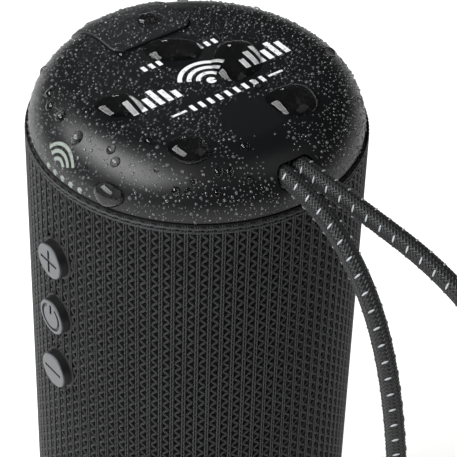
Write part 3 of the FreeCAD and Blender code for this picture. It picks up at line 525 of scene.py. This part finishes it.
# ---------------------------------------------------------------- lanyard
def route_points():
    """The lanyard's hanging route, out of the slot, round its loop and back in."""
    drop = [(19.0, STRAND_Y, 0), (34.0, STRAND_Y, 0.1), (50.0, 4.3, -1.4), (66.3, 6.6, -3.6)]
    drop += [(80.5, 8.1, -9.2), (91.5, 9.0, -19.0), (99.0, 9.5, -33.0), (103.2, 9.7, -51.0)]
    drop += [(105.3, 9.6, -71.0), (106.0, 9.2, -92.0), (105.9, 8.6, -110.5), (105.2, 7.8, -126.5)]
    drop += [(99.6, 6.6, -135.6), (90.1, 5.0, -139.3), (80.6, 3.2, -135.8), (75.0, 1.6, -127.2)]
    drop += [(74.3, 0.2, -112.0), (74.2, -1.0, -96.0), (73.7, -1.7, -80.0), (72.8, -2.05, -64.0)]
    drop += [(71.3, -STRAND_Y, -49.5), (68.9, -STRAND_Y, -37.4), (65.6, -STRAND_Y, -25.8)]
    drop += [(60.6, -STRAND_Y, -15.4), (53.6, -STRAND_Y, -7.3), (44.9, -STRAND_Y, -1.9)]
    drop += [(34.0, -STRAND_Y, 0.05), (19.0, -STRAND_Y, 0)]
    return [(x * MM, y * MM, (SLOT_Z + z) * MM) for x, y, z in drop]


def route_curve():
    curve = bpy.data.curves.new("lanyard_route", "CURVE")
    curve.dimensions = "3D"
    curve.resolution_u = 24
    spline = curve.splines.new("NURBS")
    points = route_points()
    spline.points.add(len(points) - 1)
    for point, place in zip(spline.points, points):
        point.co = (*place, 1.0)
    spline.order_u = 3
    spline.use_endpoint_u = True
    return link(bpy.data.objects.new("lanyard_route", curve))


def read_line(curve_object, step):
    """Evenly spaced points along a curve, in millimetres."""
    mesh = bpy.data.meshes.new_from_object(curve_object)
    line = np.array([v.co for v in mesh.vertices]) / MM
    bpy.data.meshes.remove(mesh)
    return evenly(line, step)


def frames_along(line):
    """Tangent and two crosswise directions at each point, carried along without twist."""
    tangent = np.gradient(line, axis=0)
    tangent /= np.linalg.norm(tangent, axis=1)[:, None]
    across = [np.array([0.0, 0.0, 1.0])]
    for t in tangent:
        kept = across[-1] - t * (across[-1] @ t)
        across.append(kept / np.linalg.norm(kept))
    across = np.array(across[1:])
    return tangent, across, np.cross(tangent, across)


def braid(line, at, radius):
    """Strands that wind both ways round the line and pass over and under each other,
    on a plain core."""
    tangent, across, side = frames_along(line)
    # Two strands cross at each point of the line.
    rate = math.pi / (BRAID_STRANDS * (at[1] - at[0]))
    lean = math.atan(radius * rate)
    half_width, half_thick, lift = STRAND_SIZES
    shells = []
    for way in (1, -1):
        over = way * np.cos(BRAID_STRANDS * rate * at)
        for k in range(BRAID_STRANDS):
            turn = way * rate * at + 2 * math.pi * k / BRAID_STRANDS
            out = np.cos(turn)[:, None] * across + np.sin(turn)[:, None] * side
            round_ = -np.sin(turn)[:, None] * across + np.cos(turn)[:, None] * side
            wide = round_ * math.cos(lean) - way * tangent * math.sin(lean)
            middle = line + out * (radius + lift * over)[:, None]
            ring = [middle + wide * half_width, middle + out * half_thick]
            ring += [middle - wide * half_width, middle - out * half_thick]
            shells.append((np.stack(ring, axis=1).reshape(-1, 3), tube_faces(len(line), 4)))
    core = [line + (radius - 0.25) * (math.cos(a) * across + math.sin(a) * side)
            for a in np.linspace(0, 2 * math.pi, 8, endpoint=False)]
    shells.append((np.stack(core, axis=1).reshape(-1, 3), tube_faces(len(line), 8)))
    return merged(shells)


def fleck_tree():
    """Four small lozenges round the line at every step along it."""
    tree, given = nodes_tree("reflective_flecks", {
        "Route": "Object", "Step": "Float", "Radius": "Float", "Size": "Vector", "Tilt": "Float",
        "Turn": "Float", "Twist": "Float", "Material": "Material"})
    route = add(tree, "GeometryNodeObjectInfo", {"Object": given["Route"]})
    even = add(tree, "GeometryNodeResampleCurve", {"Curve": route.outputs["Geometry"],
                                                   "Length": given["Step"]}, mode="LENGTH")
    stops = add(tree, "GeometryNodeCurveToPoints", {"Curve": even.outputs["Curve"]}, mode="EVALUATED")
    circle = add(tree, "GeometryNodeMeshCircle", {"Vertices": 4, "Radius": given["Radius"]})
    ball = add(tree, "GeometryNodeMeshIcoSphere", {"Radius": 1.0, "Subdivisions": 2})
    tilt = add(tree, "ShaderNodeCombineXYZ", {"X": given["Tilt"]})
    lozenge = add(tree, "GeometryNodeTransform", {
        "Geometry": ball.outputs["Mesh"], "Scale": given["Size"], "Rotation": tilt.outputs["Vector"]})
    index = add(tree, "GeometryNodeInputIndex")
    quarter = add(tree, "ShaderNodeMath", {0: index.outputs["Index"], 1: math.pi / 2}, operation="MULTIPLY")
    facing = add(tree, "ShaderNodeCombineXYZ", {"Z": quarter.outputs["Value"]})
    ring = add(tree, "GeometryNodeInstanceOnPoints", {
        "Points": circle.outputs["Mesh"], "Instance": lozenge.outputs["Geometry"],
        "Rotation": facing.outputs["Vector"]})
    whole = add(tree, "GeometryNodeRealizeInstances", {"Geometry": ring.outputs["Instances"]})
    placed = add(tree, "GeometryNodeInstanceOnPoints", {
        "Points": stops.outputs["Points"], "Instance": whole.outputs["Geometry"],
        "Rotation": stops.outputs["Rotation"]})
    wound = add(tree, "ShaderNodeMath", {0: index.outputs["Index"], 1: given["Twist"], 2: given["Turn"]},
                operation="MULTIPLY_ADD")
    about = add(tree, "ShaderNodeCombineXYZ", {"Z": wound.outputs["Value"]})
    turned = add(tree, "GeometryNodeRotateInstances", {"Instances": placed.outputs["Instances"],
                                                       "Rotation": about.outputs["Vector"]})
    end_tree(tree, turned.outputs["Instances"], given["Material"])
    return tree


def make_lanyard(finishes):
    route = route_curve()
    line, at = read_line(route, BRAID_PITCH / (2 * BRAID_STRANDS))
    points, faces = braid(line, at, CORD_D / 2 - 0.2)
    cord = piece("lanyard_braid", points, faces, finishes["lanyard_braid"])
    # Reflective tracer thread: pale grey with a glassy sparkle.
    tracer = surface("reflective_tracer", "#9fa3a7", 0.35, grain=0.15, depth=0.02, mottle=0.2)
    flecks = grown("lanyard_flecks", fleck_tree(), {
        "Route": route, "Step": FLECK_STEP * MM, "Radius": (CORD_D / 2 - 0.02) * MM,
        "Size": tuple(size * MM for size in FLECK_SIZE), "Tilt": math.radians(FLECK_LEAN),
        "Turn": math.radians(FLECK_TURN), "Twist": math.radians(FLECK_TWIST), "Material": tracer})
    bpy.data.objects.remove(route)
    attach(cord, "housing")
    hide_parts("lanyard_cord")
    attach(flecks, "housing")


# ---------------------------------------------------------------- knitted sleeve
def yarn_tree():
    """Upright yarns round the tube. Each sways sideways in step with the rows, rises and falls,
    turns in at both rims and stops at the holes for the keys."""
    tree, given = nodes_tree("knit_yarns", {
        "Radius": "Float", "Bottom": "Float", "Top": "Float", "Row": "Float", "Steps per Row": "Int",
        "Wales": "Int", "First": "Int", "Count": "Int", "Aside": "Float", "Sway": "Float", "Waves": "Float",
        "Relief": "Float", "Width": "Float", "Thickness": "Float", "Sides": "Int", "Hole Middle": "Float",
        "Hole Step": "Float", "Hole Radius": "Float", "Rim": "Float", "Material": "Material"})

    def maths(operation, a, b=0.0, c=0.0):
        return add(tree, "ShaderNodeMath", {0: a, 1: b, 2: c}, operation=operation).outputs["Value"]

    height = maths("SUBTRACT", given["Top"], given["Bottom"])
    steps = maths("MULTIPLY", maths("DIVIDE", height, given["Row"]), given["Steps per Row"])
    low = add(tree, "ShaderNodeCombineXYZ", {"X": given["Radius"], "Z": given["Bottom"]})
    high = add(tree, "ShaderNodeCombineXYZ", {"X": given["Radius"], "Z": given["Top"]})
    upright = add(tree, "GeometryNodeCurvePrimitiveLine", {"Start": low.outputs["Vector"],
                                                           "End": high.outputs["Vector"]})
    fine = add(tree, "GeometryNodeResampleCurve", {"Curve": upright.outputs["Curve"], "Count": steps})
    place = add(tree, "ShaderNodeSeparateXYZ", {"Vector": add(tree, "GeometryNodeInputPosition").outputs[0]})
    rows = maths("DIVIDE", maths("SUBTRACT", place.outputs["Z"], given["Bottom"]), given["Row"])
    turn = maths("MULTIPLY", maths("MULTIPLY", rows, given["Waves"]), 2 * math.pi)
    sway = maths("MULTIPLY_ADD", maths("SINE", turn), given["Sway"], given["Aside"])
    rise = maths("MULTIPLY", maths("COSINE", maths("MULTIPLY", turn, 2.0)), given["Relief"])
    to_end = maths("MINIMUM", maths("SUBTRACT", place.outputs["Z"], given["Bottom"]),
                   maths("SUBTRACT", given["Top"], place.outputs["Z"]))
    tuck = maths("SUBTRACT", 1.0, maths("MINIMUM", maths("DIVIDE", to_end, given["Rim"]), 1.0))
    inward = maths("MULTIPLY", maths("POWER", tuck, 2.0), given["Rim"])
    shift = add(tree, "ShaderNodeCombineXYZ", {"X": maths("SUBTRACT", rise, inward), "Y": sway})
    swayed = add(tree, "GeometryNodeSetPosition", {"Geometry": fine.outputs["Curve"],
                                                   "Offset": shift.outputs["Vector"]})
    columns = add(tree, "GeometryNodeMeshLine", {"Count": given["Count"], "Offset": (0.0, 0.0, 0.0)})
    number = maths("ADD", add(tree, "GeometryNodeInputIndex").outputs[0], given["First"])
    angle = maths("MULTIPLY", maths("DIVIDE", number, given["Wales"]), 2 * math.pi)
    rotation = add(tree, "ShaderNodeCombineXYZ", {"Z": angle})
    around = add(tree, "GeometryNodeInstanceOnPoints", {"Points": columns.outputs["Mesh"],
                                                        "Instance": swayed.outputs["Geometry"],
                                                        "Rotation": rotation.outputs["Vector"]})
    lines = add(tree, "GeometryNodeRealizeInstances", {"Geometry": around.outputs["Instances"]})
    from_middle = maths("SUBTRACT", place.outputs["Z"], given["Hole Middle"])
    nearest = maths("ROUND", maths("DIVIDE", from_middle, given["Hole Step"]))
    nearest = maths("MINIMUM", maths("MAXIMUM", nearest, -1.0), 1.0)
    from_hole = maths("SUBTRACT", from_middle, maths("MULTIPLY", nearest, given["Hole Step"]))
    reach = maths("SQRT", maths("ADD", maths("POWER", place.outputs["X"], 2.0),
                                maths("POWER", from_hole, 2.0)))
    inside = maths("MULTIPLY", maths("LESS_THAN", reach, given["Hole Radius"]),
                   maths("LESS_THAN", place.outputs["Y"], 0.0))
    cut = add(tree, "GeometryNodeDeleteGeometry", {"Geometry": lines.outputs["Geometry"],
                                                   "Selection": inside})
    level = add(tree, "ShaderNodeCombineXYZ", {"X": place.outputs["X"], "Y": place.outputs["Y"]})
    outward = add(tree, "ShaderNodeVectorMath", {0: level.outputs["Vector"]}, operation="NORMALIZE")
    facing = add(tree, "GeometryNodeSetCurveNormal", {"Curve": cut.outputs["Geometry"],
                                                      "Normal": outward.outputs["Vector"]}, mode="FREE")
    circle = add(tree, "GeometryNodeCurvePrimitiveCircle", {"Resolution": given["Sides"], "Radius": 1.0})
    flat = add(tree, "ShaderNodeCombineXYZ", {"X": given["Thickness"], "Y": given["Width"], "Z": 1.0})
    section = add(tree, "GeometryNodeTransform", {"Geometry": circle.outputs["Curve"],
                                                  "Scale": flat.outputs["Vector"]})
    yarns = add(tree, "GeometryNodeCurveToMesh", {"Curve": facing.outputs["Curve"],
                                                  "Profile Curve": section.outputs["Geometry"],
                                                  "Fill Caps": True})
    end_tree(tree, yarns.outputs["Mesh"], given["Material"])
    return tree


def hem_ring(radius, height, width, thickness):
    """One wavy yarn round the sleeve's end."""
    around, sides = 4 * WALES, 6
    turn = np.arange(around) * 2 * math.pi / around
    points = []
    for a in np.arange(sides) * 2 * math.pi / sides:
        reach = radius + thickness * math.cos(a) + 0.05 * np.cos(2 * WALES * turn)
        level = height + width * math.sin(a) + 0.07 * np.sin(WALES * turn)
        points.append(np.stack([reach * np.cos(turn), reach * np.sin(turn), level], axis=1))
    faces = []
    for i in range(around):
        for j in range(sides):
            after, above = (i + 1) % around, (j + 1) % sides
            faces.append((j * around + i, j * around + after, above * around + after, above * around + i))
    return np.concatenate(points), faces


def make_hem(finish):
    """Binding yarns that close the fabric along both of its ends."""
    rings = [hem_ring(SLEEVE_R - HEM_DEPTH, end + way * inset, *HEM_YARN)
             for end, way in ((SLEEVE_HIGH.z, -1), (SLEEVE_LOW.z, 1)) for inset in HEM_INSETS]
    return face_outwards(piece("knit_hem", *merged(rings), finish))


def make_back_layer():
    """A near-black layer just under the yarns: painted shade, which shows as dark points between them."""
    # Fine net, coloured near black as painted shade between the yarns: matt, with a hint of its close rows.
    net = striped("painted_shade_net", ("#050506", "#0f1011"), 0.9, 0.6, "Z", depth=0.05)
    layer = copied("knit_sleeve", "knit_back_layer", net)
    for vertex in layer.data.vertices:
        reach = math.hypot(vertex.co.x, vertex.co.y)
        if reach > BACK_R * MM:
            vertex.co.xy *= BACK_R * MM / reach
    return layer


def in_metres(sizes):
    return {name: size * MM for name, size in sizes.items()}


def make_sleeve(finishes):
    """Zigzag loops between paired ribs, over a near-black layer of painted shade, closed by hems."""
    tree = yarn_tree()
    wale = 2 * math.pi * SLEEVE_R / WALES
    common = in_metres({
        "Radius": SLEEVE_R - LOOP_DEPTH, "Bottom": SLEEVE_LOW.z + YARN_ENDS,
        "Top": SLEEVE_HIGH.z - YARN_ENDS, "Row": ROW, "Rim": 0.9, "Hole Middle": KEY_ZS[1],
        "Hole Step": (KEY_ZS[0] - KEY_ZS[2]) / 2, "Hole Radius": COLLAR_R + 0.1})
    # Flat polyester yarn of the ribs: smoother, so a shade lighter.
    ribs = fibre_streaks("flat_polyester", "#1e1f21", 0.52, contrast=0.5, sheen=0.1)
    pieces = []

    def knit(name, parts, part, sizes, **counts):
        pieces.append(grown("%s_%d" % (name, part + 1), tree, {
            **common, **in_metres(sizes), **counts, "Wales": WALES, "First": part * WALES // parts,
            "Count": WALES // parts}))

    for part in range(3):
        knit("knit_loops", 3, part, {**LOOP_YARN, "Aside": wale / 2}, Waves=1.0, Sides=6,
             Material=finishes["knit_fabric"], **{"Steps per Row": 8})
    for name, way in (("left", -1), ("right", 1)):
        sizes = {**RIB_YARN, "Aside": way * RIB_ASIDE, "Sway": way * RIB_SWAY, "Radius": SLEEVE_R - RIB_DEPTH}
        for part in range(2):
            knit("knit_rib_" + name, 2, part, sizes, Waves=2.0, Sides=4, Material=ribs,
                 **{"Steps per Row": 6})
    pieces.append(make_hem(ribs))
    back = make_back_layer()
    for part in pieces + [back]:
        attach(part, "housing")
        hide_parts("knit_sleeve")


# ---------------------------------------------------------------- the cap's prints
def on_cap(places):
    """The nearest points of the top cap's outside, and the directions out of it."""
    places = np.asarray(places, float)
    reach = np.hypot(places[..., 0], places[..., 1])
    aside = np.maximum(reach - SHOULDER_R, 0.0)
    above = places[..., 2] - SHOULDER_Z
    slope = np.hypot(aside, above)
    away = np.maximum(reach, 0.001)
    normal = np.stack([places[..., 0] / away * aside / slope, places[..., 1] / away * aside / slope,
                       above / slope], axis=-1)
    inner = np.minimum(1.0, SHOULDER_R / away)
    foot = np.stack([places[..., 0] * inner, places[..., 1] * inner,
                     np.full_like(reach, SHOULDER_Z)], axis=-1)
    return foot + normal * CAP_ROUND, normal


def round_cap(azimuth, along):
    """A point of the cap's outside, from its direction in degrees and its distance from the middle
    along the surface."""
    bend = max(along - SHOULDER_R, 0.0) / CAP_ROUND
    reach = min(along, SHOULDER_R) + CAP_ROUND * math.sin(bend)
    turn = math.radians(azimuth)
    return (reach * math.cos(turn), reach * math.sin(turn), SHOULDER_Z + CAP_ROUND * math.cos(bend))


def arc(middle, radius, start, end, steps=14):
    turns = np.radians(np.linspace(start, end, steps))
    return [(middle[0] + radius * math.cos(t), middle[1] + radius * math.sin(t)) for t in turns]


def printed_strokes(name, strokes, place, material, ink=0.03):
    """Strokes of ink, each a line of points with a width, laid on the cap. place turns a stroke's
    own coordinates into a point near the cap's outside."""
    shells = []
    for line, width in strokes:
        line = np.asarray(line, float)
        across = crosswise(line)
        rings = []
        for side, lift in ((-1, -ink), (-1, ink), (1, ink), (1, -ink)):
            foot, normal = on_cap([place(*p) for p in line + across * side * width / 2])
            rings.append(foot + normal * lift)
        shells.append((np.stack(rings, axis=1).reshape(-1, 3), tube_faces(len(line), 4)))
    return face_outwards(piece(name, *merged(shells), material, smooth=False))


def make_prints():
    """A row of sound-level bars round a wave sign on the flat top, and a small wave sign with
    dots low on the shoulder."""
    # Pad-printed ink: opaque, matt, with a slightly uneven film.
    white = surface("pad_print_white", "#e4e5e6", 0.5, grain=0.3, depth=0.004, mottle=0.05)
    muted = surface("pad_print_grey", "#7d857e", 0.55, grain=0.3, depth=0.004, mottle=0.12)
    strokes = []
    for side in (-1, 1):
        for k, tall in enumerate(BAR_HEIGHTS):
            u = side * (8.6 + 2.15 * k)
            strokes.append(([(u, BARS_FOOT), (u, BARS_FOOT + tall)], 1.25))
        strokes.append(([(side * 10.4, LINE_V), (side * 14.0, LINE_V)], 0.6))
        for u in (side * 5.2, side * 7.1, side * 9.0):
            strokes.append(([(u, BARS_FOOT + 11.2), (u, BARS_FOOT + 12.9)], 0.95))
    for k in range(-4, 5):
        strokes.append(([(k * 2.2, LINE_V - 1.0), (k * 2.2, LINE_V + 1.0)], 0.9))
    middle = (0.0, BARS_FOOT + 1.0)
    strokes.append((arc(middle, 0.6, 0, 330), 0.9))
    for radius in (2.7, 4.6, 6.5):
        strokes.append((arc(middle, radius, 28, 152), 0.95))
    top = printed_strokes("top_print", strokes, lambda u, v: (-v, u + PRINT_MIDDLE, HEIGHT), white)
    rim = SHOULDER_R + CAP_ROUND * math.pi / 2
    marks = [(arc((0.0, 2.9), radius, 25, 155), 0.75) for radius in (1.7, 3.2, 4.7)]
    for k in range(5):
        marks.append((arc((-3.2 + 2.6 * k, 1.2), 0.35, 0, 330, 8), 0.7))
    low = printed_strokes("shoulder_print", marks, lambda u, v: round_cap(
        MARK_AZIMUTH + math.degrees(u / CAP_R), rim - v), muted)
    for part in (top, low):
        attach(part, "housing")


# ---------------------------------------------------------------- cover strap
def make_strap(finishes):
    """The cover's rubber root: a flat band that rises off its seat and runs into the cover."""
    line, _ = evenly(np.array(STRAP_LINE, float), count=30)
    for _ in range(4):
        line[1:-1] = (line[:-2] + 2 * line[1:-1] + line[2:]) / 4
    wide, thick = STRAP_HALF
    corners = [(wide, thick - STRAP_ROUND), (wide - STRAP_ROUND, thick)]
    corners += [(-y, out) for y, out in reversed(corners)]
    section = corners + [(-y, -out) for y, out in corners]
    points = []
    for (x, z), (nx, nz) in zip(line, crosswise(line)):
        points += [(x + nx * out, y, z + nz * out) for y, out in section]
    strap = face_outwards(piece("cover_strap", points, tube_faces(len(line), len(section)),
                                finishes["cover_rubber"]))
    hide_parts("port_cover_strap")
    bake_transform(strap)


# ---------------------------------------------------------------- water on the cap
def drop(place, size, heading, tall, rings, sides, wobble, lift=0.0):
    """A drop of water on the cap: points and faces. size is its two half widths, and wobble the
    uneven part of its outline."""
    middle, normal = on_cap(place)
    first = np.cross(normal, (math.sin(heading), -math.cos(heading), 0.0))
    first /= np.linalg.norm(first)
    second = np.cross(normal, first)
    turn = np.arange(sides) * 2 * math.pi / sides
    outline = 1 + sum(amount * np.cos(k * turn + phase) for k, amount, phase in wobble)
    points = []
    shares = [j / rings for j in range(1, rings)] + [1.0, 0.97]
    for share in [math.sin(s * math.pi / 2) for s in shares[:-1]] + [shares[-1]]:
        reach = outline * share
        spots = middle + np.outer(reach * np.cos(turn) * size[0], first) + np.outer(
            reach * np.sin(turn) * size[1], second)
        foot, out = on_cap(spots)
        points.append(foot + out * (lift + tall * max(1 - share ** 2.6, 0.0) ** 0.8))
    points[-1] = foot - out * 0.05
    top, out = on_cap(middle)
    points.append((top + out * (lift + tall))[None])
    faces = []
    for i in range(rings):
        for j in range(sides):
            a, b = i * sides, (i + 1) * sides
            faces.append((b + j, b + (j + 1) % sides, a + (j + 1) % sides, a + j))
    peak = (rings + 1) * sides
    faces += [(peak, j, (j + 1) % sides) for j in range(sides)]
    faces.append(tuple(rings * sides + j for j in reversed(range(sides))))
    return np.concatenate(points), faces


def past_cover(place):
    """How far a place on the cap is outside the cover's edge; less than nothing on the cover."""
    x, y, z = place
    return max(x - COVER_HIGH.x, abs(y) - COVER_HIGH.y, COVER_LOW.z - z)


def has_footing(place, radius):
    """Whether a drop rests wholly on the cap or on its cover, clear of the lanyard's slot."""
    x, y, z = place
    beside_slot = x < SLOT_DRY[0] or abs(y) > SLOT_DRY[1] or abs(z - SLOT_Z) > SLOT_DRY[2]
    return abs(past_cover(place)) > radius + 0.1 and beside_slot


def spray(chance, taken):
    """Fine drops: their places and half widths, none touching another."""
    whole = SHOULDER_R + CAP_ROUND * math.pi / 2
    big = np.array(taken)
    cells, kept = {}, []
    for _ in range(SPRAY):
        along = whole * math.sqrt(chance.uniform(0, 1)) * 0.985
        place = np.array(round_cap(chance.uniform(-180, 180), along))
        radius = 0.17 + 0.3 * chance.uniform(0, 1) ** 2.5
        key = tuple((place // SPRAY_CELL).astype(int))
        near = [d for i in (-1, 0, 1) for j in (-1, 0, 1) for k in (-1, 0, 1)
                for d in cells.get((key[0] + i, key[1] + j, key[2] + k), ())]
        room = big[:, 3] * chance.uniform(0.9, 1.25) + radius
        if (np.linalg.norm(big[:, :3] - place, axis=1) < room).any():
            continue
        if any(np.linalg.norm(other - place) < size + radius + SPRAY_GAP for other, size in near):
            continue
        if has_footing(place, radius):
            cells.setdefault(key, []).append((place, radius))
            kept.append((place, radius))
    return kept


def make_drops():
    """Spilt water: a few broad puddles, round drops between them, and a spray of fine ones that
    leaves some patches clear."""
    chance = np.random.default_rng(11)
    wet_look = {"IOR": 1.333, "Specular IOR Level": 1.0}
    # Clear water: smooth, with bright sharp highlights, and dark where it shows the cap.
    water = new_material("clear_water", {**wet_look, "Roughness": 0.0, "Transmission Weight": 1.0})
    # Fine spray: a share of white in its colour is a painted highlight that stands in for the bright specks
    # of its glints, so it reads a little milky.
    spray_with_painted_highlight = new_material("fine_spray_painted_highlight", {**wet_look, "Roughness": 0.1, "Transmission Weight": 0.92,
                                             "Base Color": linear("#f2f4f6")})
    wet = {(body, kind): [] for body in ("housing", "cover") for kind in ("drops", "spray")}
    taken = []

    def put(kind, place, size, heading, tall, rings, sides, unevenness):
        wobble = [(k, unevenness / k * chance.uniform(-1, 1), chance.uniform(0, 6.3)) for k in (2, 3, 4, 5)]
        over = past_cover(place) < 0
        wet["cover" if over else "housing", kind].append(
            drop(place, size, heading, tall, rings, sides, wobble, COVER_PROUD if over else 0.0))
        taken.append((*place, max(size)))

    for x, y, size, heading, tall in PUDDLES:
        put("drops", (x, y, on_cap((x, y, HEIGHT))[0][2]), size, math.radians(heading), tall, *PUDDLE_FORM)
    for azimuth, along, down, around in ROUND_DROPS:
        put("drops", round_cap(azimuth, along), (down, around), math.radians(azimuth),
            min(down, around) * 0.62, *DROP_FORM)
    for x, y, radius in CLEAR_PATCHES:
        taken.append((x, y, on_cap((x, y, HEIGHT))[0][2], radius))
    for place, radius in spray(chance, taken):
        put("spray", place, (radius, radius * chance.uniform(0.75, 1.0)), chance.uniform(0, 6.3),
            radius * 0.7, *SPRAY_FORM)
    for (body, kind), shells in wet.items():
        drops = face_outwards(piece("%s_on_%s" % (kind, body), *merged(shells),
                                    spray_with_painted_highlight if kind == "spray" else water))
        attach(drops, body)


# ---------------------------------------------------------------- the object
def make_object():
    finishes = make_finishes()
    dress_frame(finishes)
    make_lanyard(finishes)
    make_sleeve(finishes)
    make_strap(finishes)
    make_prints()


make_camera()
make_studio()
make_object()
make_drops()
